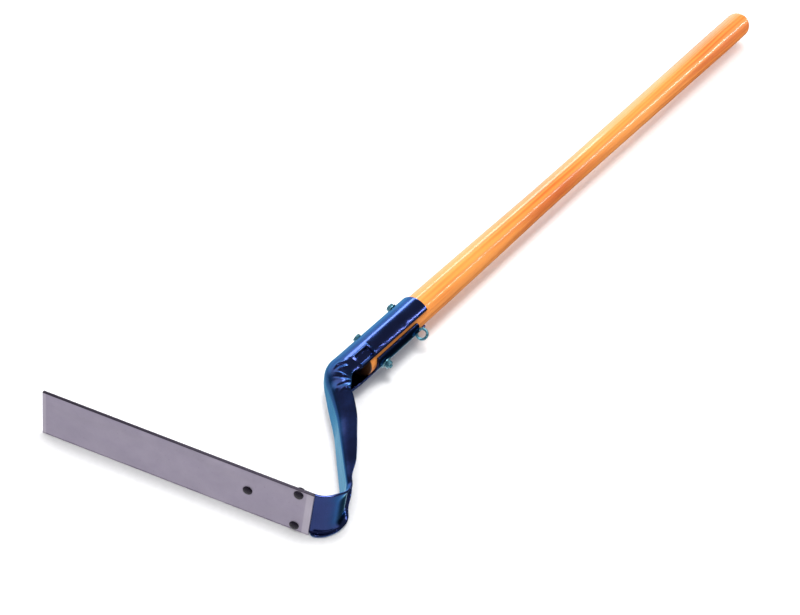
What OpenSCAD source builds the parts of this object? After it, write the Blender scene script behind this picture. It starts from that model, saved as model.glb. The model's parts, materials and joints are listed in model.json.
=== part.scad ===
// L-shaped swing weed cutter, lying on its side: a flat steel blade riveted to a pressed steel neck,
// whose rolled socket is bolted round a turned wooden handle. Millimetres, +Z up.
// The handle lies along +Y and the blade stands on its lower long edge at z = 0.

/* [Blade] */
// Length of the blade strip
blade_len = 256; // [180:1:360]
// Width of the blade strip, which stands upright
blade_w = 50.8; // [44:0.1:60]
// Thickness of the blade strip
blade_t = 3; // [2:0.1:4]
// Angle by which the blade is off square to the handle
blade_skew = 13.8; // [5:0.1:20]

/* [Neck] */
// Thickness of the pressed sheet
sheet = 2.3; // [2:0.1:3.2]
// Inside radius of the bend between the foot and the arm
bend_r = 20; // [15:1:26]
// Length of the arm, from the bend to the corner of the knee
arm_len = 159; // [140:1:200]
// Angle of the arm to the handle
arm_lean = 41; // [36:1:45]
// Length of the rolled socket, from the corner of the knee to the mouth
socket_len = 121; // [115:1:140]

/* [Handle] */
// Diameter of the handle inside the socket
seat_d = 30.4; // [28:0.1:33]
// Diameter of the slim waist of the handle
waist_d = 27.4; // [25:0.1:29]
// Diameter of the grip at the free end
grip_d = 32.4; // [30:0.1:36]
// Length of the handle outside the socket
reach = 774; // [600:1:1100]
// Length of the handle inside the socket
seat_len = 97; // [84:1:100]

/* [Fasteners] */
// Diameter of the clamp bolt
bolt_d = 4.83; // [4:0.01:8]
// Diameter of the eye bolt's shank
eye_shank_d = 4.83; // [4:0.01:7]
// Diameter of the hole through the eye
eye_hole_d = 7.4; // [6:0.1:8]
// Diameter of the rivets
rivet_d = 5; // [4:0.1:6]

/* [Hidden] */
$fn = 72;
cut = 1;                                // how far a cutter runs past what it cuts
mid_z = blade_w / 2;                    // height of the handle's axis and of every middle plane

// Socket: a rolled tube with a slot, whose top lip and tab edge are angles from straight up
seat_gap = 0.1;
tube_in = seat_d / 2 + seat_gap;
tube_r = tube_in + sheet;
lip_angle = 49;
tab_angle = 60;
open_angle = 122;
tab_from = -88;
tab_to = -19;
tube_from = -106;                       // where the exact tube starts, past the knee

// Plan of the neck: the line of the web's inner face, worked back from the corner of the knee
heading = 90 + arm_lean;
knee = [-tube_r, -socket_len];
bend_end = knee - arm_len * [cos(heading), sin(heading)];
bend_turn = heading - blade_skew;
bend_c = bend_end + bend_r * [-sin(heading), cos(heading)];
bend_start = bend_c + bend_r * [sin(blade_skew), -cos(blade_skew)];
foot_overhang = 1.5;                    // flat foot between the heel of the blade and the bend
heel = bend_start + (foot_overhang) * [cos(blade_skew), sin(blade_skew)]
       + (blade_t + sheet) * [sin(blade_skew), -cos(blade_skew)];

// Rivets, from the heel of the blade: distance along it and height
inner_rivet = [-59, 27];
upper_rivet = [-13.5, 45];
lower_rivet = [-13.5, 6.2];
rivet_head_d = 9;
rivet_head_h = 2.2;
rivet_tail_d = 8;
rivet_tail_h = 1.5;
rivet_play = 0.1;

// Bolts across the socket; their far end dips below level by bolt_dip
bolt_dip = 14;
clamp_y = -74.3;
eye_y = -16.5;
bolt_play = 0.2;
clamp_hex = 7.94;
clamp_head_h = 2.8;
clamp_nut_h = 4.2;
clamp_end = 1.8;                        // bare thread past the nut
washer_d = 12.7;
washer_t = 1.2;
eye_hex = 7.94;
eye_nut_h = 3;
eye_washer_d = 11;
eye_washer_t = 1;
eye_end = 0.6;                          // bare thread past the nut
eye_wire = 2.9;
eye_land = 1.6;                         // width of the straight wall inside the eye
eye_turn = 43;                          // how far the eye is turned about its shank
eye_reach = 21;                         // from the handle's axis to the middle of the eye
eye_seat = 13.4;                        // spot face that the eye beds into on the wood

// Handle profile: distance from the mouth of the socket, and radius
waist_y = 285;
grip_from = 705;
dome_len = 13;
dome_steps = 12;
seat_chamfer = 1;

// Sets its children in the part's frame
module placed() {
    translate(to_origin) children();
}

// Sets its children on the blade: +X to the heel, +Y to the handle's side, +Z up
module on_blade() {
    placed() translate([heel[0], heel[1], 0]) rotate([0, 0, blade_skew]) children();
}

// Sets its children on a bolt: +Z from the head's side of the socket to the far side
module on_bolt(y) {
    placed() translate([0, y, mid_z]) rotate([0, 90 + bolt_dip, 0]) children();
}

// A disc along +Y, as a rivet lies through the blade
module rod_y(d, from, to) {
    translate([0, from, 0]) rotate([-90, 0, 0]) cylinder(d = d, h = to - from);
}

// A low dome of diameter d and height h, standing on z = 0
module dome(d, h) {
    ball_r = (d * d / 4 + h * h) / (2 * h);
    intersection() {
        translate([0, 0, h - ball_r]) sphere(r = ball_r);
        cylinder(d = d + cut, h = h + cut);
    }
}

// ---- Handle -------------------------------------------------------------------------------

function dome_points() = [for (i = [0:dome_steps]) let (a = 90 * i / dome_steps)
    [grip_d / 2 * cos(a), reach - dome_len + dome_len * sin(a)]];

function handle_outline() = concat(
    [[0, -seat_len], [seat_d / 2 - seat_chamfer, -seat_len], [seat_d / 2, -seat_len + seat_chamfer],
     [seat_d / 2, 12], [seat_d / 2 - 0.8, 140], [waist_d / 2, waist_y - 30], [waist_d / 2, waist_y + 30],
     [waist_d / 2 + 0.6, 440], [waist_d / 2 + 1.5, 570], [grip_d / 2 - 0.3, grip_from - 25],
     [grip_d / 2, grip_from]],
    dome_points());

module handle() {
    color("darkorange") difference() {
        placed() translate([0, 0, mid_z]) rotate([-90, 0, 0]) rotate_extrude() polygon(handle_outline());
        on_bolt(clamp_y) cylinder(d = bolt_d + 2 * bolt_play, h = 3 * seat_d, center = true);
        on_bolt(eye_y) cylinder(d = eye_shank_d + 2 * bolt_play, h = 3 * seat_d, center = true);
        on_bolt(eye_y) translate([0, 0, eye_seat]) cylinder(r = eye_hole_d, h = seat_d);
    }
}

// ---- Neck ---------------------------------------------------------------------------------

// One half of the sheet's cross-section, from its middle out to its edge, as [depth, height].
// It is a straight web, a fold that turns by a1, a flat flange, a lip that turns by a2 and a flat rim.
fold_steps = 5;
lip_steps = 4;
function half_section(web, fold, a1, flat, lip, a2, rim, off) =
    let (fr = fold * 180 / (PI * a1),
         lr = lip * 180 / (PI * a2),
         end = [fr * (1 - cos(a1)), web + fr * sin(a1)] + flat * [sin(a1), cos(a1)],
         c = end + lr * [cos(a1), -sin(a1)])
    concat([for (i = [0:fold_steps]) let (a = a1 * i / fold_steps)
                [fr - (fr - off) * cos(a), web + (fr - off) * sin(a)]],
           [for (i = [0:lip_steps]) let (a = a1 + a2 * i / lip_steps)
                c + (lr - off) * [-cos(a), sin(a)]],
           [c + (lr - off) * [-cos(a1 + a2), sin(a1 + a2)] + rim * [sin(a1 + a2), cos(a1 + a2)]]);

function mirrored(points) = [for (i = [len(points) - 1:-1:0]) [points[i][0], -points[i][1]]];
function backwards(points) = [for (i = [len(points) - 1:-1:0]) points[i]];

// Sizes of the section at a few places along the web, between which it changes evenly:
// [distance past the bend, web, fold, a1, flat, top lip, top a2, lower lip, lower a2, lower rim]
tube_quarter = tube_r * PI / 2;
nearly_flat = 0.05;
least_rim = 0.3;
hidden_lip = 2;                         // how far, in degrees, the neck's end stops short of the tube's slot
foot_top = 23.1;                        // half the height of the foot, a little under the blade's
bend_arc = bend_r * bend_turn * PI / 180;
function flat_section(half) = let (rim = min(least_rim, 0.05 * half))
    [0.47 * half, 0.35 * half, nearly_flat, 0.08 * half,
     0.1 * half - rim, nearly_flat, 0.1 * half - rim, nearly_flat, rim];
key_sections = [
    concat([-bend_arc], flat_section(foot_top)),
    [-36, 10.9, 8.1, 1, 1.9, 2, nearly_flat, 5.4, 80, 2.8],
    [-22, 10.9, 8.1, 5, 1.9, 2.7, nearly_flat, 6.2, 85, 1],
    [-9, 14.5, 8.1, 45, 1, 0.6, 1, 2.4, 25, 0.5],
    [0, 17.3, 7.4, 80, 0.3, 0.2, 2, 2.2, 4, least_rim],
    [24, 15.5, 9.4, 90, 3, 1.7, 4, 2.9, 6, least_rim],
    [50, 14, 11, 90, 4.5, 2.5, 6, 2.7, 6, least_rim],
    [76, 11, 15, 90, 4, 3.3, 9, 2.7, 9, least_rim],
    [100, 9, 18, 90, 3, 3.7, 12, 2.7, 12, least_rim],
    [112, 7.5, 20, 90, 2.6, 2.7, 10, 1.7, 10, least_rim],
    [128, 3.6, 24, 90, 1.6, 5.7, 22, 3.7, 16, least_rim],
    [150, 1, 27, 90, 0.4, 10.7, 34, 10.7, 36, least_rim],
    [172, 0.02, tube_quarter, 90, 0.4,
     (lip_angle - hidden_lip) * PI / 180 * tube_r, lip_angle - hidden_lip,
     (180 - open_angle - hidden_lip) * PI / 180 * tube_r, 180 - open_angle - hidden_lip, least_rim]];

// Half the height of the foot at distance d back from the bend: a tongue with a round end
foot_round = 11;
foot_mid = -inner_rivet[0] - foot_overhang;
foot_full = 14;                         // the foot has its full height from here to the bend
function foot_half(d) =
    d > foot_mid
    ? sqrt(max(1, foot_round * foot_round - (d - foot_mid) * (d - foot_mid)))
    : min(foot_top, foot_round + (foot_top - foot_round) * (foot_mid - d) / (foot_mid - foot_full));

function mix(a, b, f) = a + (b - a) * f;
function key_section(u, k = 0) =
    (k >= len(key_sections) - 2 || u < key_sections[k + 1][0])
        ? let (a = key_sections[k], b = key_sections[k + 1])
          mix(a, b, min(1, max(0, (u - a[0]) / (b[0] - a[0]))))
        : key_section(u, k + 1);
function section_at(u) =
    u < -bend_arc ? concat([u], flat_section(foot_half(-u - bend_arc))) : key_section(u);

// Towards the tube the faceted wall draws in by up to end_inset, so that it ends inside the tube's wall
end_inset = 0.4;
function ring_outline(s, inset) =
    let (outer = inset / 2,
         inner = sheet - inset,
         top_rim = min(least_rim, s[9]),
         top_out = half_section(s[1], s[2], s[3], s[4], s[5], s[6], top_rim, outer),
         top_in = half_section(s[1], s[2], s[3], s[4], s[5], s[6], top_rim, inner),
         low_out = half_section(s[1], s[2], s[3], s[4], s[7], s[8], s[9], outer),
         low_in = half_section(s[1], s[2], s[3], s[4], s[7], s[8], s[9], inner))
    concat(mirrored(low_out), top_out, backwards(top_in), backwards(mirrored(low_in)));

// The arm is straight at first, bows out, and turns into the socket's line at the knee
bow_from = 72;
bow_to = 118.5;
bow_out = 4;
bow_heading = 137;
socket_start = [-tube_r, -119];
socket_from = 163;
mouth_u = socket_from - socket_start[1];
function way(a) = [cos(a), sin(a)];
function left_of(a) = [-sin(a), cos(a)];
bow_start = bend_end + bow_from * way(heading);
bow_end = bend_end + bow_to * way(heading) + bow_out * left_of(heading);

// A point on a smooth curve that leaves start and reaches end along the given ways
function hermite(start, start_way, end, end_way, span, f) =
    start * (1 + 2 * f) * pow(1 - f, 2) + start_way * span * f * pow(1 - f, 2)
    + end * f * f * (3 - 2 * f) - end_way * span * f * f * (1 - f);

// Where the middle of the web's outer face is at distance u past the end of the bend
function web_at(u) =
    u < 0
    ? let (a = max(blade_skew, heading + u / bend_r * 180 / PI),
           past = max(0, -u - bend_arc))
      bend_c - bend_r * left_of(a) - past * way(a)
    : u < bow_from
    ? bend_end + u * way(heading)
    : u < bow_to
    ? hermite(bow_start, way(heading), bow_end, way(bow_heading), bow_to - bow_from,
              (u - bow_from) / (bow_to - bow_from))
    : u < socket_from
    ? hermite(bow_end, way(bow_heading), socket_start, way(90), socket_from - bow_to,
              (u - bow_to) / (socket_from - bow_to))
    : [-tube_r, u - mouth_u];

// The sections of the knee fan out about its inner side, so they turn over a longer stretch
fan_from = 100;
fan_to = 172;
function ease(f) = f * f * (3 - 2 * f);
function section_heading(u) =
    u < 0
    ? max(blade_skew, heading + u / bend_r * 180 / PI)
    : mix(heading, 90, ease(min(1, max(0, (u - fan_from) / (fan_to - fan_from)))));

function ring(u) =
    let (at = web_at(u), a = section_heading(u),
         inset = end_inset * ease(max(0, (u - fan_from) / (web_end - fan_from))))
    [for (p = ring_outline(section_at(u), inset))
        [at[0] + p[0] * sin(a), at[1] - p[0] * cos(a), mid_z + p[1]]];

tube_lap = 4;                           // how far the neck's end runs into the tube
web_end = mouth_u + tube_from + tube_lap;
arm_stations = concat(
    [for (i = [0:5]) -bend_arc - foot_mid - foot_round * cos(15 * i)],
    [for (d = [foot_mid, foot_full, foot_full / 2]) -bend_arc - d],
    [for (i = [0:9]) -bend_arc + bend_arc * i / 9],
    [12, 24, 37, 50, 67, 84, 100],
    [for (i = [1:12]) mix(fan_from, web_end, i / 12)]);

// The origin is under the middle of the whole tool, which runs in x from the blade's tip to the bend
low_x = heel[0] - blade_len * cos(blade_skew) - blade_t * sin(blade_skew);
high_x = max([for (u = arm_stations) for (p = ring(u)) p[0]]);
low_y = heel[1] - blade_len * sin(blade_skew);
to_origin = [-(low_x + high_x) / 2, -(low_y + reach) / 2, 0];

module swept(stations) {
    rings = [for (u = stations) ring(u)];
    n = len(rings[0]);
    side = [for (k = [0:len(rings) - 2]) for (i = [0:n - 1]) let (j = (i + 1) % n)
        [k * n + i, (k + 1) * n + i, (k + 1) * n + j, k * n + j]];
    // The ends are strips between the outer and the inner line of the sheet
    m = n / 2;
    last = (len(rings) - 1) * n;
    near = [for (i = [0:m - 2]) [i, i + 1, n - 2 - i, n - 1 - i]];
    far = [for (i = [0:m - 2]) [last + i, last + n - 1 - i, last + n - 2 - i, last + i + 1]];
    polyhedron(points = [for (r = rings) each r], faces = concat(side, near, far), convexity = 6);
}

// A wedge from angle a to angle b, from straight up towards +X, that runs along Y
module wedge(from, to, a, b) {
    far = 3 * tube_r;
    translate([0, to, mid_z]) rotate([90, 0, 0]) linear_extrude(to - from)
        polygon([[0, 0], far * [sin(a), cos(a)], far * [sin(b), cos(b)]]);
}

// The rolled tube: a slot along its whole length, which opens out before and after the tab
module tube() {
    difference() {
        translate([0, 0, mid_z]) rotate([90, 0, 0]) difference() {
            cylinder(r = tube_r, h = -tube_from);
            translate([0, 0, -cut]) cylinder(r = tube_in, h = 2 * cut - tube_from);
        }
        wedge(tube_from - cut, cut, lip_angle, tab_angle);
        wedge(tube_from - cut, tab_from, lip_angle, open_angle);
        wedge(tab_to, cut, lip_angle, open_angle);
    }
}

module neck() {
    color("midnightblue") difference() {
        union() {
            placed() swept(arm_stations);
            placed() tube();
        }
        for (r = [inner_rivet, upper_rivet, lower_rivet])
            on_blade() translate([r[0], 0, r[1]]) rod_y(rivet_d + 2 * rivet_play, -cut, 10);
        on_bolt(clamp_y) cylinder(d = bolt_d + 2 * bolt_play, h = 3 * tube_r, center = true);
        on_bolt(eye_y) translate([0, 0, -2 * tube_r])
            cylinder(d = eye_shank_d + 2 * bolt_play, h = 2 * tube_r);
    }
}

// ---- Blade and rivets ---------------------------------------------------------------------

module blade() {
    color("slategray") on_blade() difference() {
        translate([-blade_len, 0, 0]) cube([blade_len, blade_t, blade_w]);
        for (r = [inner_rivet, upper_rivet, lower_rivet])
            translate([r[0], 0, r[1]]) rod_y(rivet_d + 2 * rivet_play, -cut, blade_t + cut);
    }
}

// A rivet with its set head on the blade's bare face and its tail on the back of the foot
module rivet(at) {
    back = blade_t + sheet;
    color("black") on_blade() translate([at[0], 0, at[1]]) {
        rod_y(rivet_d, -0.1, back + 0.1);
        rotate([90, 0, 0]) dome(rivet_head_d, rivet_head_h);
        translate([0, back, 0]) rotate([-90, 0, 0]) dome(rivet_tail_d, rivet_tail_h);
    }
}

module rivet_inner() rivet(inner_rivet);
module rivet_upper() rivet(upper_rivet);
module rivet_lower() rivet(lower_rivet);

// ---- Bolts --------------------------------------------------------------------------------

// A hexagonal head or nut blank that stands on z = 0
module hexagon(across, h) {
    cylinder(d = across / cos(30), h = h, $fn = 6);
}

// Distances along a bolt: the head's side is negative
nut_face = tube_r + washer_t;
module clamp_bolt() {
    color("gray") on_bolt(clamp_y) {
        translate([0, 0, -tube_r - clamp_head_h]) hexagon(clamp_hex, clamp_head_h);
        translate([0, 0, -tube_r - 0.1])
            cylinder(d = bolt_d, h = tube_r + 0.1 + nut_face + clamp_nut_h + clamp_end);
    }
}

module clamp_washer() {
    color("silver") on_bolt(clamp_y) translate([0, 0, tube_r]) difference() {
        cylinder(d = washer_d, h = washer_t);
        translate([0, 0, -cut]) cylinder(d = bolt_d + 2 * bolt_play, h = washer_t + 2 * cut);
    }
}

module clamp_nut() {
    color("silver") on_bolt(clamp_y) translate([0, 0, nut_face]) difference() {
        hexagon(clamp_hex, clamp_nut_h);
        translate([0, 0, -cut]) cylinder(d = bolt_d + 0.1, h = clamp_nut_h + 2 * cut);
    }
}

// The eye: a ring with a straight land inside, turned to face up and out
module eye() {
    inner = eye_hole_d / 2;
    translate([0, 0, eye_reach]) rotate([0, 0, eye_turn]) rotate([0, 90, 0]) rotate_extrude()
        translate([inner, 0]) hull() {
            translate([0, -eye_land / 2]) square([0.5, eye_land]);
            translate([eye_wire / 2, 0]) circle(d = eye_wire, $fn = 32);
        }
}

module eye_bolt() {
    color("gray") on_bolt(eye_y) {
        eye();
        shank_top = eye_reach - eye_hole_d / 2 - 0.6;
        shank_end = -tube_r - eye_washer_t - eye_nut_h - eye_end;
        translate([0, 0, shank_end]) cylinder(d = eye_shank_d, h = eye_seat - shank_end);
        translate([0, 0, eye_seat - 0.1]) cylinder(d = eye_wire + 1, h = shank_top - eye_seat + 0.1);
    }
}

module eye_washer() {
    color("silver") on_bolt(eye_y) translate([0, 0, -tube_r - eye_washer_t]) difference() {
        cylinder(d = eye_washer_d, h = eye_washer_t);
        translate([0, 0, -cut]) cylinder(d = eye_shank_d + 2 * bolt_play, h = eye_washer_t + 2 * cut);
    }
}

module eye_nut() {
    color("silver") on_bolt(eye_y) translate([0, 0, -tube_r - eye_washer_t - eye_nut_h]) difference() {
        hexagon(eye_hex, eye_nut_h);
        translate([0, 0, -cut]) cylinder(d = eye_shank_d + 0.1, h = eye_nut_h + 2 * cut);
    }
}

handle();
neck();
blade();
rivet_inner();
rivet_upper();
rivet_lower();
clamp_bolt();
clamp_washer();
clamp_nut();
eye_bolt();
eye_washer();
eye_nut();
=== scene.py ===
"""Looks for the L-shaped swing weed cutter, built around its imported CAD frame.

Everything is in metres in the CAD frame: the handle lies along +Y, +Z is up, and the blade stands
on its lower long edge. Lengths named in millimetres are turned into metres where a mesh is made.
Distances along the handle are measured from the socket's mouth.
"""
import json
import math

import bmesh
import bpy
from mathutils import Matrix, Vector, noise


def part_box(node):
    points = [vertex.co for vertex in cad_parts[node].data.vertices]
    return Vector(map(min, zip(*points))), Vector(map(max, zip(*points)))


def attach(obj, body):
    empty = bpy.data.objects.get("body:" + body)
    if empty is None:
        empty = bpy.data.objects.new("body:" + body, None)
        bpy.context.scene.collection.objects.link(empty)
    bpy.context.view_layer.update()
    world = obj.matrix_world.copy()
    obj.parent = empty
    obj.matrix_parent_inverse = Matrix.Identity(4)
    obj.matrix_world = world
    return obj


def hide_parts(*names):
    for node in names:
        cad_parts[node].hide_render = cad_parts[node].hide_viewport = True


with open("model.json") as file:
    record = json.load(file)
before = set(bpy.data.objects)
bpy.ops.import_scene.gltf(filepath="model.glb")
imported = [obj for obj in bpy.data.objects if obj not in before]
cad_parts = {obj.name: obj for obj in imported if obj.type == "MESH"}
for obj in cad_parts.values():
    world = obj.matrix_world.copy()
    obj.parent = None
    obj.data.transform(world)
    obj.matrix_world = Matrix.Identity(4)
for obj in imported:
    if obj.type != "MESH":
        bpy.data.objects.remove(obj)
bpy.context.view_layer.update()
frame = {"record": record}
MM = 0.001

# ---- Where things are, from the frame ------------------------------------------------------------

handle_low, handle_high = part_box("handle")
AXIS_X = (handle_low.x + handle_high.x) / 2
AXIS_Z = (handle_low.z + handle_high.z) / 2
MOUTH_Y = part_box("neck")[1].y
FLOOR_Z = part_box("blade")[0].z
MOUNTS = {mount["name"]: mount for mount in frame["record"]["mounts"]}

# Sizes of the real tool, in millimetres, as in the CAD model
MID = AXIS_Z / MM
REACH = (handle_high.y - MOUTH_Y) / MM
SEAT_LEN = (MOUTH_Y - handle_low.y) / MM
GRIP_R = (handle_high.x - handle_low.x) / 2 / MM
BLADE_LEN, BLADE_T, BLADE_SKEW = 256.0, 3.0, math.radians(13.8)
SHEET, BEND_R, ARM_LEN, ARM_LEAN, SOCKET_LEN = 2.3, 20.0, 159.0, math.radians(41.0), 121.0
SEAT_R, WAIST_R = 15.2, 13.7
TUBE_R = SEAT_R + 0.1 + SHEET
LIP_ANGLE, TAB_ANGLE, OPEN_ANGLE = math.radians(49), math.radians(60), math.radians(122)
TAB_FROM, TAB_TO = -88.0, -19.0
BOLT_DIP = math.radians(14.0)
CLAMP_Y, EYE_Y = -74.3, -16.5


def at_handle(x, y, z):
    """A point given from the middle of the socket's mouth, in metres."""
    return Vector((AXIS_X + x, MOUTH_Y + y, AXIS_Z + z))


# ---- Camera --------------------------------------------------------------------------------------

def add_camera():
    """A long lens that looks down at the socket's mouth from the blade's side, slightly rolled."""
    azimuth, elevation, roll = math.radians(27.03), math.radians(41.0), math.radians(10.89)
    distance = 1.572
    aim = at_handle(-14.7 * MM, -4.7 * MM, 0)
    forward = Vector((-math.sin(azimuth) * math.cos(elevation),
                      math.cos(azimuth) * math.cos(elevation), -math.sin(elevation)))
    level = Vector((math.cos(azimuth), math.sin(azimuth), 0))
    upright = level.cross(forward)
    right = level * math.cos(roll) + upright * math.sin(roll)
    up = upright * math.cos(roll) - level * math.sin(roll)
    data = bpy.data.cameras.new("camera")
    data.lens = 72.0
    data.sensor_width = 36.0
    data.clip_end = 50.0
    camera = bpy.data.objects.new("camera", data)
    turn = Matrix((right, up, -forward)).transposed().to_4x4()
    camera.matrix_world = Matrix.Translation(aim - forward * distance) @ turn
    bpy.context.scene.collection.objects.link(camera)
    bpy.context.scene.camera = camera


# ---- Materials -----------------------------------------------------------------------------------

class Finish:
    """A node material: a Principled shader with helpers to feed it."""

    def __init__(self, name, **shader):
        self.material = bpy.data.materials.new(name)
        self.material.use_nodes = True
        self.tree = self.material.node_tree
        self.shader = self.tree.nodes["Principled BSDF"]
        self.coords = self.tree.nodes.new("ShaderNodeTexCoord").outputs["Object"]
        for socket, value in shader.items():
            self.feed(self.shader, socket.replace("_", " "), value)

    def feed(self, node, socket, value):
        target = node.inputs[socket]
        if isinstance(value, bpy.types.NodeSocket):
            self.tree.links.new(value, target)
        elif isinstance(value, tuple) and len(value) == 3 and target.type == "RGBA":
            target.default_value = (*value, 1)
        else:
            target.default_value = value

    def node(self, kind, inputs=None, output=0, **settings):
        made = self.tree.nodes.new("ShaderNode" + kind)
        for key, value in settings.items():
            setattr(made, key, value)
        for socket, value in (inputs or {}).items():
            self.feed(made, socket, value)
        return made.outputs[output]

    def stretched(self, scale, location=(0, 0, 0)):
        return self.node("Mapping", {"Vector": self.coords, "Scale": scale, "Location": location})

    def noise(self, scale, vector=None, detail=3.0, roughness=0.55):
        return self.node("TexNoise", {"Vector": vector or self.coords, "Scale": scale, "Detail": detail,
                                      "Roughness": roughness})

    def ramp(self, value, *stops):
        made = self.tree.nodes.new("ShaderNodeValToRGB")
        self.feed(made, "Fac", value)
        elements = made.color_ramp.elements
        while len(elements) < len(stops):
            elements.new(0.5)
        for element, (place, colour) in zip(elements, stops):
            element.position = place
            element.color = (*colour, 1)
        return made.outputs[0]

    def blend(self, factor, a, b):
        made = self.tree.nodes.new("ShaderNodeMix")
        made.data_type = "RGBA"
        for index, value in ((0, factor), (6, a), (7, b)):
            if isinstance(value, bpy.types.NodeSocket):
                self.tree.links.new(value, made.inputs[index])
            else:
                made.inputs[index].default_value = (*value, 1) if isinstance(value, tuple) else value
        return made.outputs[2]

    def span(self, value, low, high, to_low=0.0, to_high=1.0):
        return self.node("MapRange", {"Value": value, "From Min": low, "From Max": high,
                                      "To Min": to_low, "To Max": to_high})

    def bump(self, height, strength, distance, normal=None):
        inputs = {"Height": height, "Strength": strength, "Distance": distance}
        if normal:
            inputs["Normal"] = normal
        return self.node("Bump", inputs)

    def edge_wear(self, low, high):
        """How strongly a spot lies on a convex edge."""
        return self.span(self.node("NewGeometry", output=7), low, high)


def wood_finish():
    """Orange lacquered straight-grained wood; the grain runs along the handle."""
    f = Finish("lacquered_wood", IOR=1.3, Coat_Weight=0.45, Coat_Roughness=0.07, Coat_IOR=1.4)
    rings = f.node("TexWave", {"Vector": f.stretched((1, 0.035, 1), (0.035, 0.012, 0.021)), "Scale": 120.0,
                               "Distortion": 5.0, "Detail": 3.0, "Detail Scale": 0.9,
                               "Detail Roughness": 0.6},
                   output=1, wave_type="RINGS", rings_direction="Y")
    fibres = f.noise(900.0, f.stretched((1, 0.02, 1)), detail=4.0)
    pores = f.noise(2600.0, f.stretched((1, 0.012, 1)), detail=2.0)
    drift = f.noise(9.0, f.stretched((1, 0.5, 1)), detail=2.0)
    grain = f.ramp(rings, (0.0, (0.84, 0.255, 0.044)), (0.55, (0.74, 0.190, 0.028)),
                   (1.0, (0.58, 0.115, 0.016)))
    streaked = f.blend(f.span(fibres, 0.42, 0.68, 0.0, 0.5), grain, (0.60, 0.15, 0.02))
    dotted = f.blend(f.span(pores, 0.62, 0.74, 0.0, 0.45), streaked, (0.42, 0.095, 0.015))
    warm = f.blend(f.span(drift, 0.35, 0.65, 0.0, 0.45), dotted, (0.95, 0.40, 0.085))
    lengthwise = f.node("SeparateXYZ", {"Vector": f.coords}, output=1)
    seat_end = MOUTH_Y - SEAT_LEN * MM
    # Painted shade: the wood is blended almost to black at the handle's inner end, deep inside the socket.
    painted_shade_seat_end = f.span(lengthwise, seat_end + 0.0004, seat_end + 0.0014, 0.96, 0.0)
    f.feed(f.shader, "Base Color", f.blend(painted_shade_seat_end, warm, (0.035, 0.016, 0.008)))
    f.feed(f.shader, "Roughness", f.span(fibres, 0.3, 0.7, 0.34, 0.5))
    ripple = f.bump(f.noise(38.0, f.stretched((1, 0.12, 1)), detail=1.0), 0.12, 0.0008)
    f.feed(f.shader, "Normal", f.bump(fibres, 0.25, 0.00006, ripple))
    f.feed(f.shader, "Coat Normal", ripple)
    return f.material


def enamel_finish():
    """Glossy dark blue enamel, paler where its edges are rubbed, and slightly orange-peeled."""
    f = Finish("blue_enamel", Metallic=1.0, IOR=1.5, Coat_Weight=0.22, Coat_Roughness=0.08,
               Specular_Tint=(0.18, 0.70, 1.0))
    cloud = f.noise(24.0, detail=3.0)
    fleck = f.noise(900.0, detail=2.0)
    body = f.ramp(cloud, (0.3, (0.022, 0.032, 0.13)), (0.7, (0.032, 0.048, 0.19)))
    flecked = f.blend(f.span(fleck, 0.55, 0.75, 0.0, 0.3), body, (0.05, 0.08, 0.26))
    chips = f.node("Math", {0: f.edge_wear(0.53, 0.60), 1: f.span(f.noise(160.0, detail=4.0), 0.45, 0.60)},
                   operation="MULTIPLY")
    f.feed(f.shader, "Base Color", f.blend(chips, flecked, (0.10, 0.16, 0.30)))
    smear = f.noise(60.0, f.stretched((1, 0.4, 1)), detail=4.0)
    f.feed(f.shader, "Roughness", f.span(smear, 0.3, 0.7, 0.13, 0.24))
    wave = f.bump(f.noise(75.0, detail=1.5), 0.25, 0.0006)
    peel = f.bump(f.noise(520.0, detail=1.0), 0.12, 0.0001, wave)
    f.feed(f.shader, "Normal", peel)
    f.feed(f.shader, "Coat Normal", wave)
    return f.material


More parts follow.
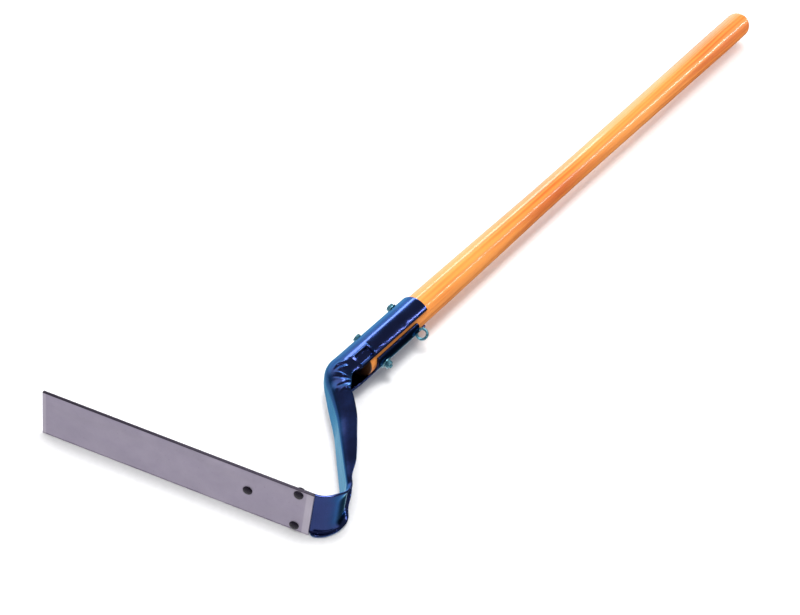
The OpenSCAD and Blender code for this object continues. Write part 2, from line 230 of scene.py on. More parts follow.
def steel_finish():
    """Bare rolled steel with a lilac cast, pale at both ends and dark along its lower edge, with painted
    shade along its top edge.
    """
    f = Finish("rolled_steel", Metallic=0.85, IOR=2.0)
    mottle = f.noise(34.0, detail=5.0, roughness=0.6)
    fine = f.noise(420.0, detail=3.0)
    rolled = f.noise(60.0, f.stretched((0.10, 1, 1.4)), detail=3.0)
    tone = f.ramp(mottle, (0.25, (0.300, 0.265, 0.360)), (0.5, (0.345, 0.305, 0.400)),
                  (0.8, (0.400, 0.355, 0.450)))
    rubbed = f.blend(f.span(rolled, 0.4, 0.7, 0.0, 0.3), tone, (0.44, 0.40, 0.49))
    speck = f.blend(f.span(fine, 0.66, 0.76, 0.0, 0.5), rubbed, (0.20, 0.17, 0.24))
    height = f.node("SeparateXYZ", {"Vector": f.coords}, output=2)
    ragged = f.node("Math", {0: height, 1: f.span(mottle, 0.2, 0.8, -0.0011, 0.0011)}, operation="ADD")
    low_edge = f.span(ragged, 0.0009, 0.0022, 0.75, 0.0)
    worn = f.blend(low_edge, speck, (0.10, 0.075, 0.13))
    lengthwise = f.node("VectorMath", {0: f.coords, 1: (math.cos(BLADE_SKEW), math.sin(BLADE_SKEW), 0)},
                        output=1, operation="DOT_PRODUCT")
    heel_at = at_handle(HEEL.x * MM, HEEL.y * MM, 0).to_2d().dot(along(BLADE_SKEW))
    tip_at = heel_at - BLADE_LEN * MM
    heel_strip = f.span(lengthwise, heel_at - 0.0068, heel_at - 0.0058, 0.0, 0.55)
    tip_strip = f.span(lengthwise, tip_at + 0.0030, tip_at + 0.0040, 0.45, 0.0)
    ends = f.node("Math", {0: heel_strip, 1: tip_strip}, operation="MAXIMUM")
    ground = f.blend(ends, worn, (0.56, 0.52, 0.60))
    # Painted shade: the top edge is blended almost to black, standing in for the shade and dark reflection
    # there.
    top_edge = f.span(height, 2 * MID * MM - 0.0009, 2 * MID * MM - 0.0003, 0.0, 0.92)
    f.feed(f.shader, "Base Color", f.blend(top_edge, ground, (0.012, 0.006, 0.020)))
    f.feed(f.shader, "Roughness", f.span(rolled, 0.3, 0.7, 0.34, 0.5))
    f.feed(f.shader, "Normal", f.bump(fine, 0.2, 0.00012, f.bump(mottle, 0.12, 0.0005)))
    return f.material


def black_finish():
    """Blackened rivet steel."""
    f = Finish("black_rivet", Metallic=0.3, IOR=1.4)
    scale = f.noise(700.0, detail=4.0)
    tone = f.ramp(scale, (0.35, (0.006, 0.004, 0.010)), (0.7, (0.026, 0.019, 0.036)))
    f.feed(f.shader, "Base Color", tone)
    f.feed(f.shader, "Roughness", f.span(scale, 0.3, 0.7, 0.22, 0.42))
    f.feed(f.shader, "Normal", f.bump(scale, 0.3, 0.00015))
    return f.material


def zinc_finish():
    """Blued zinc plate on the bolts, nuts and washers."""
    f = Finish("blued_zinc", Metallic=0.7, IOR=1.8)
    cloud = f.noise(260.0, detail=4.0)
    scuff = f.noise(1400.0, detail=3.0)
    tone = f.ramp(cloud, (0.3, (0.05, 0.18, 0.26)), (0.55, (0.14, 0.38, 0.48)),
                  (0.8, (0.50, 0.72, 0.78)))
    f.feed(f.shader, "Base Color", f.blend(f.span(scuff, 0.6, 0.75, 0.0, 0.5), tone, (0.03, 0.06, 0.10)))
    f.feed(f.shader, "Roughness", f.span(cloud, 0.3, 0.7, 0.18, 0.36))
    f.feed(f.shader, "Normal", f.bump(scuff, 0.3, 0.0001))
    return f.material


def floor_finish():
    """Plain pale studio paper."""
    f = Finish("pale_paper", IOR=1.3)
    tooth = f.noise(220.0, detail=3.0)
    f.feed(f.shader, "Base Color", f.ramp(tooth, (0.3, (0.86, 0.86, 0.87)), (0.7, (0.90, 0.90, 0.91))))
    f.feed(f.shader, "Roughness", f.span(tooth, 0.3, 0.7, 0.8, 0.95))
    f.feed(f.shader, "Normal", f.bump(tooth, 0.05, 0.0004))
    return f.material


# ---- Mesh tools ----------------------------------------------------------------------------------

def add_piece(name, mesh, material, node, smooth_angle=35.0):
    """Turns a bmesh in millimetres from the part's own zero into a finished piece."""
    bmesh.ops.recalc_face_normals(mesh, faces=mesh.faces)
    data = bpy.data.meshes.new(name)
    mesh.to_mesh(data)
    mesh.free()
    data.transform(Matrix.Translation((AXIS_X, MOUTH_Y, FLOOR_Z)) @ Matrix.Scale(MM, 4))
    for face in data.polygons:
        face.use_smooth = True
    data.set_sharp_from_angle(angle=math.radians(smooth_angle))
    piece = bpy.data.objects.new(name, data)
    bpy.context.scene.collection.objects.link(piece)
    data.materials.append(material)
    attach(piece, "root")
    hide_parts(node)


def join_rows(mesh, rows):
    """Joins rows of vertices, each a closed loop of the same length, with quads."""
    for row, after in zip(rows, rows[1:]):
        for i in range(len(row)):
            j = (i + 1) % len(row)
            mesh.faces.new((row[i], row[j], after[j], after[i]))


def add_loops(mesh, loops, cap=None):
    """Joins loops of points and closes both ends, with cap or else with one face each."""
    rows = [[mesh.verts.new(point) for point in loop] for loop in loops]
    join_rows(mesh, rows)
    for row in (rows[0], rows[-1]):
        if cap:
            cap(mesh, row)
        else:
            mesh.faces.new(row)


def plain(r, z, angle):
    """The radius rule of a surface that is simply round."""
    return r


def turned(profile, to_place, steps, radius):
    """Loops from a profile of (distance along the axis, radius), about an axis that to_place sets."""
    return [[to_place(Vector((radius(r, z, a) * math.cos(a), radius(r, z, a) * math.sin(a), z)))
             for a in (math.tau * i / steps for i in range(steps))] for z, r in profile]


def lathe(mesh, profile, to_place, steps=64, radius=plain):
    """A turned solid, closed at both ends."""
    add_loops(mesh, turned(profile, to_place, steps, radius))


def ring_lathe(mesh, profile, to_place, steps=64, radius=plain):
    """A turned ring, whose profile is a closed loop round a hole."""
    loops = turned(profile, to_place, steps, radius)
    rows = [[mesh.verts.new(point) for point in loop] for loop in loops]
    join_rows(mesh, rows + [rows[0]])


def spline(keys):
    """A smooth curve through (place, value, ...) keys that never overshoots them."""
    places = [key[0] for key in keys]
    columns = list(zip(*(key[1:] for key in keys)))
    slopes = []
    for values in columns:
        steps = [(b - a) / (q - p) for a, b, p, q in zip(values, values[1:], places, places[1:])]
        inner = [2 * s * t / (s + t) if s * t > 0 else 0.0 for s, t in zip(steps, steps[1:])]
        slopes.append([steps[0]] + inner + [steps[-1]])

    def at(place):
        place = min(max(place, places[0]), places[-1])
        k = max(i for i in range(len(places) - 1) if places[i] <= place)
        width = places[k + 1] - places[k]
        f = (place - places[k]) / width
        h = ((1 + 2 * f) * (1 - f) ** 2, f * (1 - f) ** 2 * width,
             f * f * (3 - 2 * f), f * f * (f - 1) * width)
        return [h[0] * v[k] + h[1] * s[k] + h[2] * v[k + 1] + h[3] * s[k + 1]
                for v, s in zip(columns, slopes)]
    return at


def ease(f):
    """From 0 to 1 with a soft start and end."""
    f = min(1.0, max(0.0, f))
    return f * f * (3 - 2 * f)


def steps_between(a, b, step):
    """Places from a up to b, b left out, about a step apart."""
    count = max(1, round((b - a) / step))
    return [a + (b - a) * i / count for i in range(count)]


# ---- Handle --------------------------------------------------------------------------------------

DOME_LEN = 13.0
WAIST_Y = 285.0
GRIP_FROM = 705.0


def make_handle(material):
    radius_at = spline([(-SEAT_LEN, SEAT_R), (12, SEAT_R), (140, SEAT_R - 0.7), (WAIST_Y - 30, WAIST_R),
                        (WAIST_Y + 30, WAIST_R), (440, WAIST_R + 0.6), (570, WAIST_R + 1.5),
                        (GRIP_FROM - 25, GRIP_R - 0.25), (GRIP_FROM, GRIP_R), (REACH, GRIP_R)])
    profile = [(-SEAT_LEN, 2.0), (-SEAT_LEN, SEAT_R - 1.2), (-SEAT_LEN + 0.3, SEAT_R - 0.4)]
    profile += [(y, radius_at(y)[0]) for y in steps_between(-SEAT_LEN + 1, REACH - DOME_LEN, 5.0)]
    profile += [(REACH - DOME_LEN + DOME_LEN * math.sin(a), GRIP_R * math.cos(a))
                for a in (math.radians(90 * i / 20) for i in range(20))]
    profile.append((REACH, 0.6))
    mesh = bmesh.new()
    lathe(mesh, profile, lambda p: Vector((p.x, p.z, MID + p.y)), steps=96)
    add_piece("handle_turned", mesh, material, "handle", smooth_angle=40)


# ---- Neck ----------------------------------------------------------------------------------------

HEADING = math.pi / 2 + ARM_LEAN
BEND_TURN = HEADING - BLADE_SKEW
BEND_ARC = BEND_R * BEND_TURN
FOOT_OVERHANG, FOOT_ROUND, FOOT_FULL = 1.5, 11.0, 14.0
INNER_RIVET, UPPER_RIVET, LOWER_RIVET = (-59.0, 27.0), (-13.5, 45.0), (-13.5, 6.2)
FOOT_MID = -INNER_RIVET[0] - FOOT_OVERHANG
FAN_FROM, FAN_TO = 100.0, 172.0


def along(angle):
    """The way that a heading points, seen from above."""
    return Vector((math.cos(angle), math.sin(angle)))


def left_of(angle):
    """The way to the left of a heading, seen from above."""
    return Vector((-math.sin(angle), math.cos(angle)))


BEND_END = Vector((-TUBE_R, -SOCKET_LEN)) - ARM_LEN * along(HEADING)
BEND_C = BEND_END + BEND_R * left_of(HEADING)
BEND_START = BEND_C - BEND_R * left_of(BLADE_SKEW)
HEEL = BEND_START + FOOT_OVERHANG * along(BLADE_SKEW) - (BLADE_T + SHEET) * left_of(BLADE_SKEW)

# The arm is straight at first, bows out, and turns into the socket's line at the knee
BOW_FROM, BOW_TO, BOW_OUT, BOW_HEADING = 72.0, 118.5, 4.0, math.radians(137)
SOCKET_START = Vector((-TUBE_R, -119.0))
SOCKET_FROM = 163.0
MOUTH_U = SOCKET_FROM - SOCKET_START.y
BOW_START = BEND_END + BOW_FROM * along(HEADING)
BOW_END = BEND_END + BOW_TO * along(HEADING) + BOW_OUT * left_of(HEADING)

QUARTER = TUBE_R * math.pi / 2
# [distance past the bend, web, fold, its turn, flat, top lip, its turn, lower lip, its turn, lower rim]
FOOT_TOP = 23.1
SECTION_KEYS = [
    [-BEND_ARC, 0.47 * FOOT_TOP, 0.35 * FOOT_TOP, 0, 0.08 * FOOT_TOP, 0.10 * FOOT_TOP, 0,
     0.10 * FOOT_TOP, 0, 0],
    [-36, 10.9, 8.1, 1, 1.9, 2.3, 0, 5.4, 80, 2.8],
    [-22, 10.9, 8.1, 5, 1.9, 3, 0, 6.2, 85, 1],
    [-9, 14.5, 8.1, 45, 1.0, 0.8, 1, 2.4, 25, 0.5],
    [0, 17.3, 7.4, 80, 0.1, 0.2, 2, 2.2, 4, 0],
    [24, 15.5, 9.4, 90, 3, 2, 4, 3.2, 6, 0],
    [50, 14, 11, 90, 4.5, 2.8, 6, 3, 6, 0],
    [76, 11, 15, 90, 4, 3.6, 9, 3, 9, 0],
    [100, 9, 18, 90, 3, 4, 12, 3, 12, 0],
    [112, 7.5, 20, 90, 2.6, 3, 10, 2, 10, 0],
    [128, 3.6, 24, 90, 1.6, 6, 22, 4, 16, 0],
    [150, 1, 27, 90, 0.4, 11, 34, 11, 36, 0],
    [172, 0, QUARTER, 90, 0, LIP_ANGLE * TUBE_R, math.degrees(LIP_ANGLE),
     (math.pi - OPEN_ANGLE) * TUBE_R, 180 - math.degrees(OPEN_ANGLE), 0],
]
section_keys_at = spline(SECTION_KEYS)
TAB_CORNER, TAB_SLOPE = 4.0, 1.732


def foot_half(back):
    """Half the height of the foot at a distance back from the bend."""
    if back > FOOT_MID:
        return math.sqrt(max(0.3, FOOT_ROUND ** 2 - (back - FOOT_MID) ** 2))
    return min(FOOT_TOP, FOOT_ROUND + (FOOT_TOP - FOOT_ROUND) * (FOOT_MID - back) / (FOOT_MID - FOOT_FULL))


def section_at(u):
    """The sheet's section at u, the distance past the bend, without its first column, as in SECTION_KEYS."""
    if u < -BEND_ARC:
        half = foot_half(-u - BEND_ARC)
        return [0.47 * half, 0.35 * half, 0, 0.08 * half, 0.1 * half, 0, 0.1 * half, 0, 0]
    section = section_keys_at(u)
    y = u - MOUTH_U
    if u > FAN_TO:
        # The tab: its edge swings from the open slot round to the bolt's washer, with round corners
        inside = min(y - TAB_FROM, TAB_TO - y)
        f = min(1.0, max(0.0, inside / TAB_CORNER + 0.5))
        f = math.sqrt(max(0.0, 1 - (1 - f) ** 2)) if f > 0.5 else f * TAB_SLOPE
        turn = math.pi - OPEN_ANGLE + (OPEN_ANGLE - TAB_ANGLE) * min(1.0, f)
        section[6], section[7] = turn * TUBE_R, math.degrees(turn)
    return section


def hermite(start, start_way, end, end_way, length, f):
    """A point on a smooth curve that leaves start and reaches end along the given ways."""
    return (start * (1 + 2 * f) * (1 - f) ** 2 + start_way * length * f * (1 - f) ** 2
            + end * f * f * (3 - 2 * f) - end_way * length * f * f * (1 - f))


def web_at(u):
    """Where the middle of the web's outer face is."""
    if u < 0:
        a = max(BLADE_SKEW, HEADING + u / BEND_R)
        past = max(0.0, -u - BEND_ARC)
        return BEND_C - BEND_R * left_of(a) - past * along(a)
    if u < BOW_FROM:
        return BEND_END + u * along(HEADING)
    if u < BOW_TO:
        return hermite(BOW_START, along(HEADING), BOW_END, along(BOW_HEADING), BOW_TO - BOW_FROM,
                       (u - BOW_FROM) / (BOW_TO - BOW_FROM))
    if u < SOCKET_FROM:
        return hermite(BOW_END, along(BOW_HEADING), SOCKET_START, along(math.pi / 2),
                       SOCKET_FROM - BOW_TO, (u - BOW_TO) / (SOCKET_FROM - BOW_TO))
    return Vector((-TUBE_R, u - MOUTH_U))


def section_heading(u):
    """Which way the section at u faces along the neck."""
    if u < 0:
        return max(BLADE_SKEW, HEADING + u / BEND_R)
    return HEADING + (math.pi / 2 - HEADING) * ease((u - FAN_FROM) / (FAN_TO - FAN_FROM))


def walk(parts, distance):
    """Follows straight and curved stretches (length, turn) from the middle of the web outwards."""
    depth, height, angle = 0.0, 0.0, 0.0
    for length, turn in parts:
        step = min(distance, length)
        bend = turn * step / length if length > 1e-9 else 0.0
        if abs(bend) > 1e-6:
            r = step / bend
            depth += r * (math.cos(angle) - math.cos(angle + bend))
            height += r * (math.sin(angle + bend) - math.sin(angle))
        else:
            depth += step * math.sin(angle)
            height += step * math.cos(angle)
        angle += bend
        distance -= step
    return depth + distance * math.sin(angle), height + distance * math.cos(angle), angle


HALF_STEPS, RIM_POINTS = 44, 4
RIM = 0.7


def half_points(section, top, thin):
    """One half of the sheet from the middle out: (outer point, inner point, distance) and its rim."""
    web, fold, a1, flat, top_lip, top_a2, low_lip, low_a2, low_rim = section
    lip, a2, edge = (top_lip, top_a2, 0.0) if top else (low_lip, low_a2, low_rim)
    parts = [(web, 0.0), (fold, math.radians(a1)), (flat, 0.0), (lip, math.radians(a2)), (edge, 0.0)]
    total = web + fold + flat + lip + edge
    rim = min(RIM, 0.4 * total)

    def point(distance, depth):
        d, h, a = walk(parts, distance)
        return d + depth * math.cos(a), h - depth * math.sin(a)

    skin = [(point(s, thin), point(s, SHEET - thin), s)
            for s in ((total - rim) * i / HALF_STEPS for i in range(1, HALF_STEPS + 1))]
    rounding = [point(total - back, depth) for back, depth in
                ((0.3 * rim, max(thin, 0.3 * rim)), (0, max(thin, rim)),
                 (0, SHEET - max(thin, rim)), (0.3 * rim, SHEET - max(thin, 0.3 * rim)))]
    return skin, rounding


# Dents and creases that the press and the bending left: where along and round the sheet, how long
# and wide they are, which way they run, and how deep (standing proud where negative)
CREASE_GAIN = 1.5
DENTS = [
    (153.6, 22.7, 7.5, 1.5, 24, -0.55), (150.0, 28.1, 7.5, 1.6, 33, -0.55),
    (151.5, 25.3, 7.0, 1.4, 28, 0.55), (136.8, 25.5, 4.0, 1.4, 112, -0.50),
    (131.0, 24.5, 4.5, 1.6, 100, 0.45), (126.5, 30.5, 3.0, 1.6, 40, -0.45),
    (114.0, 27.5, 4.5, 1.3, 42, -0.40), (118.0, 24.0, 4.0, 1.6, 60, 0.40),
    (113.0, 29.5, 3.5, 1.2, -35, -0.35), (115.2, 19.4, 5.0, 1.2, 5, -0.25),
    (202.0, 31.5, 2.0, 1.3, 40, -0.35), (197.5, 32.5, 2.2, 1.3, 70, 0.35),
    (204.2, 37.5, 2.2, 1.3, 20, -0.30), (249.0, 35.0, 4.0, 2.2, 25, -0.25),
    (243.0, 37.5, 3.0, 2.0, 40, 0.25),
]


def dent_shift(u, s):
    """How far the creases move the sheet outwards at u along it and s round it."""
    shift = 0.0
    for u0, s0, length, width, turn, depth in DENTS:
        du, ds = u - u0, s - s0
        a = math.radians(turn)
        p = (du * math.cos(a) + ds * math.sin(a)) / length
        q = (ds * math.cos(a) - du * math.sin(a)) / width
        if p * p + q * q < 9:
            shift -= CREASE_GAIN * depth * math.exp(-(p * p + q * q))
    return shift


POCKET_FROM, POCKET_TO = -110.0, -89.0            # along the socket, from its mouth
POCKET_TOP, POCKET_SIDE = 6.0, 40.0               # round it, in degrees from straight up
POCKET_DEPTH, BEAD_HEIGHT, BEAD_WIDTH = 1.9, 1.0, 1.2


def pocket_shift(u, s):
    """The flat pocket pressed into the top of the socket past the knee, with a raised bead round it."""
    if u < FAN_FROM:
        return 0.0
    y = u - MOUTH_U
    angle = math.degrees(s / TUBE_R) - 90
    round_it = math.radians(min(angle - POCKET_TOP, POCKET_SIDE - angle)) * TUBE_R
    inside = min(y - POCKET_FROM, POCKET_TO - y, round_it)
    bead = BEAD_HEIGHT * math.exp(-((inside + 0.6) / BEAD_WIDTH) ** 2)
    return bead - POCKET_DEPTH * ease(inside / 1.6)


def neck_ring(u, thin):
    """The loop of points round the sheet at u, thinned by thin on both faces."""
    section = section_at(u)
    at, a = web_at(u), section_heading(u)
    top, top_edge = half_points(section, True, thin)
    low, low_edge = half_points(section, False, thin)
    outer = [(d, -h, -s) for (d, h), _, s in reversed(low)] + [(thin, 0.0, 0.0)]
    outer += [(d, h, s) for (d, h), _, s in top]
    inner = [(d, h, s) for _, (d, h), s in reversed(top)] + [(SHEET - thin, 0.0, 0.0)]
    inner += [(d, -h, -s) for _, (d, h), s in low]
    rims = [(d, h, None) for d, h in top_edge], [(d, -h, None) for d, h in reversed(low_edge)]
    loop = outer + rims[0] + inner + rims[1]
    count = len(loop)
    flat = [Vector((d, h)) for d, h, _ in loop]
    points = []
    for i, (d, h, s) in enumerate(loop):
        if s is not None:
            shift = dent_shift(u, s) + pocket_shift(u, s)
            if shift:
                tangent = (flat[(i + 1) % count] - flat[i - 1]).normalized()
                outward = Vector((-tangent.y, tangent.x))
                if i >= len(outer):
                    outward = Vector((tangent.y, -tangent.x))
                d, h = d + shift * outward.x, h + shift * outward.y
        points.append(Vector((at.x + d * math.sin(a), at.y - d * math.cos(a), MID + h)))
    return points


def cap_sheet(mesh, row):
    """Closes the sheet's end with a strip between its outer and inner lines."""
    skin = 2 * HALF_STEPS + 1
    outer, inner = row[:skin], row[skin + RIM_POINTS:2 * skin + RIM_POINTS]
    inner.reverse()
    for i in range(skin - 1):
        mesh.faces.new((outer[i], outer[i + 1], inner[i + 1], inner[i]))
    mesh.faces.new([outer[-1]] + row[skin:skin + RIM_POINTS] + [inner[-1]])
    mesh.faces.new([outer[0], inner[0]] + row[2 * skin + RIM_POINTS:])


def neck_stations():
    """Where the neck has rings, closest where its shape changes most, and how far each is thinned."""
    back = [-BEND_ARC - FOOT_MID - FOOT_ROUND * math.cos(math.radians(a)) for a in range(2, 90, 6)]
    stations = back + steps_between(-BEND_ARC - FOOT_MID, -BEND_ARC - FOOT_FULL, 5.0)
    stations += steps_between(-BEND_ARC - FOOT_FULL, -BEND_ARC, 3.0)
    stations += steps_between(-BEND_ARC, 0, 1.2) + steps_between(0, FAN_FROM, 3.0)
    stations += steps_between(FAN_FROM, FAN_TO, 0.8)
    tab_in, tab_out = MOUTH_U + TAB_FROM, MOUTH_U + TAB_TO
    stations += steps_between(FAN_TO, tab_in - TAB_CORNER, 1.0)
    stations += steps_between(tab_in - TAB_CORNER, tab_in + TAB_CORNER, 0.25)
    stations += steps_between(tab_in + TAB_CORNER, tab_out - TAB_CORNER, 3.0)
    stations += steps_between(tab_out - TAB_CORNER, tab_out + TAB_CORNER, 0.25)
    stations += steps_between(tab_out + TAB_CORNER, MOUTH_U - RIM, 1.5)
    rows = [(u, 0.0) for u in stations]
    rows[0] = (stations[0], RIM)
    return rows + [(MOUTH_U - RIM, 0.0), (MOUTH_U - 0.3 * RIM, 0.3 * RIM), (MOUTH_U, RIM)]


def make_neck(material):
    mesh = bmesh.new()
    add_loops(mesh, [neck_ring(u, thin) for u, thin in neck_stations()], cap_sheet)
    add_piece("neck_pressed", mesh, material, "neck", smooth_angle=50)


# ---- Blade and rivets ----------------------------------------------------------------------------

def on_blade(point):
    """From the blade's own axes, +X to the heel, +Y to its back and +Z up, to the part's."""
    flat = HEEL + point.x * along(BLADE_SKEW) + point.y * left_of(BLADE_SKEW)
    return Vector((flat.x, flat.y, point.z))


EDGE_R = 0.55


def blade_loop(x, inset):
    """The strip's cross-section: rounded edges, and a lower edge slightly worn and uneven."""
    high = 2 * MID - inset
    face_steps = 20
    uneven = 0.30 * (0.5 + 0.5 * noise.noise(Vector((x * 0.07, 3.1, 0)))) \
        + 0.18 * (0.5 + 0.5 * noise.noise(Vector((x * 0.31, 7.7, 0))))
    low = inset + (uneven if -BLADE_LEN + 3 < x < -3 else 0.0)
    r = EDGE_R
    near, far = inset, BLADE_T - inset
    corners = []
    for cx, cz, start in ((far - r, high - r, 0), (near + r, high - r, 90), (near + r, low + r, 180),
                          (far - r, low + r, 270)):
        corners.append([(cx + r * math.cos(math.radians(start + 22.5 * i)),
                         cz + r * math.sin(math.radians(start + 22.5 * i))) for i in range(5)])
    loop = corners[0] + corners[1]
    top, bottom = corners[1][-1], corners[2][0]
    loop += [(near, top[1] + (bottom[1] - top[1]) * i / face_steps) for i in range(1, face_steps)]
    loop += corners[2] + corners[3]
    bottom, top = corners[3][-1], corners[0][0]
    loop += [(far, bottom[1] + (top[1] - bottom[1]) * i / face_steps) for i in range(1, face_steps)]
    return [on_blade(Vector((x, y, z))) for y, z in loop]


def make_blade(material):
    mesh = bmesh.new()
    ends = ((0.0, EDGE_R * 0.6), (EDGE_R * 0.3, EDGE_R * 0.18), (EDGE_R, 0.0))
    loops = [blade_loop(-BLADE_LEN + x, inset) for x, inset in ends]
    loops += [blade_loop(x, 0.0) for x in steps_between(-BLADE_LEN + 1.5, -1.5, 1.6)]
    loops += [blade_loop(-x, inset) for x, inset in reversed(ends)]
    add_loops(mesh, loops)
    add_piece("blade_strip", mesh, material, "blade", smooth_angle=40)


RIVET_R, HEAD_R, HEAD_H, TAIL_R, TAIL_H = 2.5, 4.5, 2.2, 4.0, 1.5


def dome_profile(radius, height, steps=8):
    """A low dome from its middle out to its rim, as (height above the seat, radius)."""
    return [(height * math.cos(math.radians(90 * i / steps)) ** 0.9 if i < steps else 0.25,
             max(0.15, radius * math.sin(math.radians(90 * i / steps)))) for i in range(steps + 1)]


def make_rivet(name, node, place, material):
    back = BLADE_T + SHEET
    head = [(-h, r) for h, r in dome_profile(HEAD_R, HEAD_H)] + [(0.02, HEAD_R - 0.15)]
    tail = [(back + h, r) for h, r in reversed(dome_profile(TAIL_R, TAIL_H))]
    profile = head + [(0.02, RIVET_R), (back - 0.02, RIVET_R), (back - 0.02, TAIL_R - 0.15)] + tail
    mesh = bmesh.new()

    def hammered(r, z, angle):
        return r * (1 + 0.012 * math.sin(3 * angle + place[0]) + 0.01 * math.sin(7 * angle + z))

    lathe(mesh, profile, lambda p: on_blade(Vector((place[0] + p.x, p.z, place[1] + p.y))), 40, hammered)
    add_piece(name, mesh, material, node, smooth_angle=50)


# ---- Bolts ---------------------------------------------------------------------------------------

def on_bolt(y):
    """From a bolt's own axes, +Z from its head to its far end, to the part's."""
    def place(point):
        x = point.x * math.cos(math.pi / 2 + BOLT_DIP) + point.z * math.sin(math.pi / 2 + BOLT_DIP)
        z = -point.x * math.sin(math.pi / 2 + BOLT_DIP) + point.z * math.cos(math.pi / 2 + BOLT_DIP)
        return Vector((x, y + point.y, MID + z))
    return place


HEX_STEPS, CHAMFER_FROM, CHAMFER_SLOPE = 12, 0.94, 1.73


def hexed(across, low, high, both=False):
    """The radius rule of a hexagon that is chamfered at its far end, or at both ends."""
    flat = across / 2

    def radius(r, z, angle):
        side = (angle + math.pi / 6) % (math.pi / 3) - math.pi / 6
        near_end = high - z
        if both:
            near_end = min(near_end, z - low)
        return min(r, flat / math.cos(side), flat * CHAMFER_FROM + near_end * CHAMFER_SLOPE)
    return radius


def threaded(major, pitch, depth, start, end, tip):
    """The radius rule of a helical thread between two places along a bolt, with a tapered tip."""
    def radius(r, z, angle):
        turn = (z / pitch - angle / math.tau) % 1.0
        groove = abs(2 * turn - 1)
        run = min(1.0, max(0.0, (z - start) / pitch)) * min(1.0, max(0.0, (end - z) / (0.4 * pitch)))
        return min(r, major - depth * groove * run - tip * max(0.0, 1 - (end - z) / tip) * 0.6)
    return radius


def hexagon(mesh, across, low, high, place, hole=0.0, both=False):
    """A hexagonal head, or a nut if it has a hole."""
    rule = hexed(across, low, high, both)
    step = (high - low) / HEX_STEPS
    sides = [(low + i * step, across) for i in range(HEX_STEPS + 1)]
    if not hole:
        profile = [(low, 0.3)] + sides + [(high, 0.3)]
        lathe(mesh, profile, place, 72, rule)
        return
    soft = 0.35
    profile = [(low + soft, hole), (low, hole + soft)] + sides + [(high, hole + soft), (high - soft, hole)]
    ring_lathe(mesh, profile, place, 72, rule)


CLAMP_HEX, CLAMP_HEAD_H, CLAMP_NUT_H, CLAMP_END = 7.94, 2.8, 4.2, 1.8
CLAMP_R, CLAMP_PITCH = 2.415, 1.06
WASHER_R, WASHER_T = 6.35, 1.2
EYE_SHANK_R, EYE_PITCH = 2.415, 1.06
EYE_HEX, EYE_NUT_H, EYE_END, EYE_WASHER_R, EYE_WASHER_T = 7.94, 3.0, 0.6, 5.5, 1.0
EYE_HOLE_R = MOUNTS["hang_eye"]["dims"]["r_mm"]
EYE_WIRE, EYE_TURN, EYE_REACH = 2.9, math.radians(43.0), 21.0
NUT_FACE = TUBE_R + WASHER_T
STEM_FROM = 12.6                                   # where the eye's stem starts, out from the axis


def threaded_rod(mesh, start, end, smooth_to, major, pitch, place):
    """A plain rod whose stretch past smooth_to carries true helical turns."""
    rule = threaded(major, pitch, 0.6 * pitch, smooth_to, end, 0.7)
    places = steps_between(start, smooth_to, 3.0) + steps_between(smooth_to, end, pitch / 8) + [end]
    profile = [(start, 0.3)] + [(z, major) for z in places] + [(end, 0.3)]
    lathe(mesh, profile, place, 40, rule)


def washer_profile(low, thick, hole, rim):
    """A flat ring with softened edges, as (height, radius)."""
    soft = 0.3
    return [(low + soft, hole), (low, hole + soft), (low, rim - soft), (low + soft, rim),
            (low + thick - soft, rim), (low + thick, rim - soft), (low + thick, hole + soft),
            (low + thick - soft, hole)]


def make_clamp(material):
    place = on_bolt(CLAMP_Y)
    mesh = bmesh.new()
    hexagon(mesh, CLAMP_HEX, 0, CLAMP_HEAD_H, lambda p: place(Vector((p.x, p.y, -TUBE_R - p.z))))
    end = NUT_FACE + CLAMP_NUT_H + CLAMP_END
    threaded_rod(mesh, -TUBE_R, end, TUBE_R, CLAMP_R, CLAMP_PITCH, place)
    add_piece("clamp_bolt_made", mesh, material, "clamp_bolt", 30)
    mesh = bmesh.new()
    ring_lathe(mesh, washer_profile(TUBE_R, WASHER_T, CLAMP_R + 0.2, WASHER_R), place)
    add_piece("clamp_washer_made", mesh, material, "clamp_washer", 30)
    mesh = bmesh.new()
    hexagon(mesh, CLAMP_HEX, NUT_FACE, NUT_FACE + CLAMP_NUT_H, place, CLAMP_R + 0.05, both=True)
    add_piece("clamp_nut_made", mesh, material, "clamp_nut", 30)


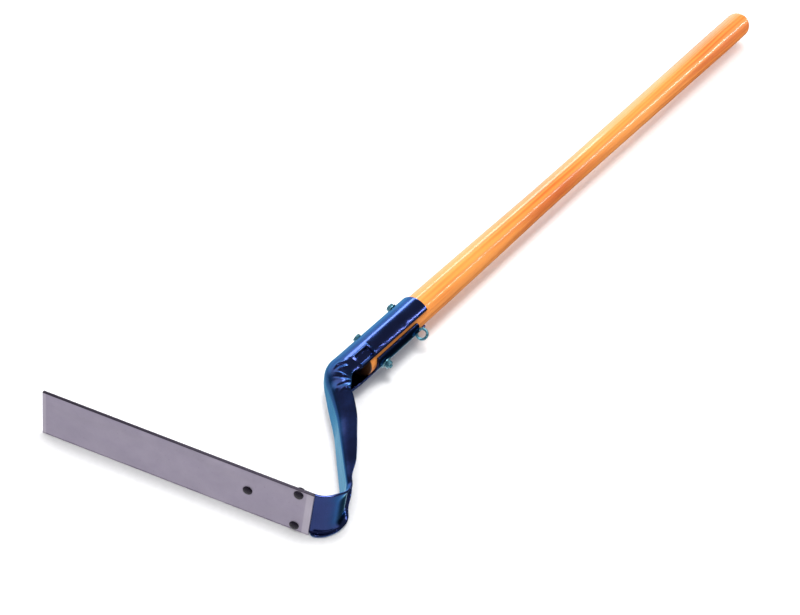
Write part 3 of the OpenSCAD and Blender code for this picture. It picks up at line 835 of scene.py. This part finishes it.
def make_eye(material):
    place = on_bolt(EYE_Y)
    ring_r = EYE_HOLE_R + EYE_WIRE / 2

    def on_ring(point):
        """From the ring's own axes, +Z through its hole, to the bolt's."""
        x, y = point.z, point.y
        return place(Vector((x * math.cos(EYE_TURN) - y * math.sin(EYE_TURN),
                             x * math.sin(EYE_TURN) + y * math.cos(EYE_TURN), EYE_REACH - point.x)))

    mesh = bmesh.new()
    wire = [(EYE_WIRE / 2 * math.sin(a), ring_r - EYE_WIRE / 2 * math.cos(a))
            for a in (math.tau * i / 20 for i in range(20))]
    ring_lathe(mesh, wire, on_ring, 56)
    stem_top = EYE_REACH - EYE_HOLE_R - 0.5
    stem = [(STEM_FROM, 0.3), (STEM_FROM, EYE_SHANK_R), (13.4, EYE_SHANK_R - 0.1),
            (14.6, EYE_WIRE / 2 + 0.6), (15.8, EYE_WIRE / 2 + 0.4),
            (stem_top, EYE_WIRE / 2 + 0.3), (stem_top, 0.3)]
    lathe(mesh, stem, place, 40)
    end = -TUBE_R - EYE_WASHER_T - EYE_NUT_H - EYE_END
    threaded_rod(mesh, -12.8, -end, TUBE_R, EYE_SHANK_R, EYE_PITCH,
                 lambda p: place(Vector((p.x, -p.y, -p.z))))
    add_piece("eye_bolt_made", mesh, material, "eye_bolt", 40)
    mesh = bmesh.new()
    low = -TUBE_R - EYE_WASHER_T
    ring_lathe(mesh, washer_profile(low, EYE_WASHER_T, EYE_SHANK_R + 0.2, EYE_WASHER_R), place)
    add_piece("eye_washer_made", mesh, material, "eye_washer", 30)
    mesh = bmesh.new()
    hexagon(mesh, EYE_HEX, low - EYE_NUT_H, low, place, EYE_SHANK_R + 0.05, both=True)
    add_piece("eye_nut_made", mesh, material, "eye_nut", 30)


# ---- Floor, lights and world ---------------------------------------------------------------------

FLOOR_HALF = 14.0
LAMP_DISTANCE = 1.0


def make_floor(material):
    """A wide pale floor. Glossy pieces mirror the grey surroundings in place of it."""
    mesh = bmesh.new()
    bmesh.ops.create_grid(mesh, x_segments=24, y_segments=24, size=FLOOR_HALF)
    data = bpy.data.meshes.new("floor")
    mesh.to_mesh(data)
    mesh.free()
    data.materials.append(material)
    floor = bpy.data.objects.new("floor", data)
    floor.location = (0, 0, FLOOR_Z)
    bpy.context.scene.collection.objects.link(floor)
    floor.visible_glossy = False


def softbox(name, direction, size, power, y):
    """A white rectangular light that faces the handle's line at y, its long side along the handle."""
    target = at_handle(0, y, 0)
    data = bpy.data.lights.new(name, "AREA")
    data.shape = "RECTANGLE"
    data.size, data.size_y = size
    data.energy = power
    light = bpy.data.objects.new(name, data)
    away = Vector(direction).normalized()
    side = Vector((0, 1, 0))
    side = (side - side.dot(away) * away).normalized()
    light.matrix_world = Matrix.Translation(target + away * LAMP_DISTANCE) \
        @ Matrix((side, away.cross(side), away)).transposed().to_4x4()
    light.visible_camera = False
    bpy.context.scene.collection.objects.link(light)


def make_world():
    """Surroundings in neutral greys.

    Below the level they are pale, and dark towards the handle's far end. Above it they are dim, and
    bright on the handle's left.
    """
    world = bpy.data.worlds.new("studio")
    bpy.context.scene.world = world
    world.use_nodes = True
    tree = world.node_tree
    way = tree.nodes.new("ShaderNodeTexCoord").outputs["Generated"]

    def across(axis, stops):
        """Brightness that changes along an axis, with places from -1 to 1."""
        dot = tree.nodes.new("ShaderNodeVectorMath")
        dot.operation = "DOT_PRODUCT"
        dot.inputs[1].default_value = axis
        tree.links.new(way, dot.inputs[0])
        ramp = tree.nodes.new("ShaderNodeValToRGB")
        span = tree.nodes.new("ShaderNodeMapRange")
        span.inputs["From Min"].default_value = -1.0
        tree.links.new(dot.outputs["Value"], span.inputs["Value"])
        tree.links.new(span.outputs[0], ramp.inputs[0])
        elements = ramp.color_ramp.elements
        while len(elements) < len(stops):
            elements.new(0.5)
        for element, (place, level) in zip(elements, stops):
            element.position = (place + 1) / 2
            element.color = (level, level, level, 1)
        return ramp.outputs[0]

    low = across((0.35, 0.94, 0), ((-1.0, 0.95), (0.33, 0.95), (0.50, 1.2), (0.63, 0.2), (0.70, 0.03)))
    high = across((-0.707, 0.707, 0), ((-1.0, 0.2), (0.76, 0.2), (0.83, 2.0), (1.0, 1.8)))
    upward = across((0, 0, 1), ((-0.30, 0.0), (-0.14, 1.0)))
    belts = tree.nodes.new("ShaderNodeMix")
    belts.data_type = "RGBA"
    tree.links.new(upward, belts.inputs[0])
    tree.links.new(low, belts.inputs[6])
    tree.links.new(high, belts.inputs[7])
    tree.links.new(belts.outputs[2], tree.nodes["Background"].inputs["Color"])


def add_key(direction, strength, spread):
    """A broad, even light from far off, which keeps the whole floor pale."""
    data = bpy.data.lights.new("key", "SUN")
    data.energy = strength
    data.angle = spread
    light = bpy.data.objects.new("key", data)
    light.rotation_euler = Vector(direction).to_track_quat("Z", "Y").to_euler()
    light.visible_glossy = False
    bpy.context.scene.collection.objects.link(light)


def add_lights():
    """White lights that shine on every piece alike, and the surroundings."""
    make_world()
    add_key((-0.20, -0.25, 0.95), 2.6, math.radians(80))
    softbox("line", (0.57, 0.67, 0.47), (1.0, 0.05), 5, 0.58)
    softbox("sheen", (-0.55, 0.67, 0.50), (0.6, 0.16), 3, 0.16)
    softbox("glints", (-0.03, 0.05, 1), (0.34, 0.34), 6, -0.12)
    bpy.context.scene.view_settings.view_transform = "Standard"


# ---- Build ---------------------------------------------------------------------------------------

add_camera()
wood, enamel, steel = wood_finish(), enamel_finish(), steel_finish()
black, zinc = black_finish(), zinc_finish()
make_handle(wood)
make_neck(enamel)
make_blade(steel)
make_rivet("rivet_inner_set", "rivet_inner", INNER_RIVET, black)
make_rivet("rivet_upper_set", "rivet_upper", UPPER_RIVET, black)
make_rivet("rivet_lower_set", "rivet_lower", LOWER_RIVET, black)
make_clamp(zinc)
make_eye(zinc)
make_floor(floor_finish())
add_lights()
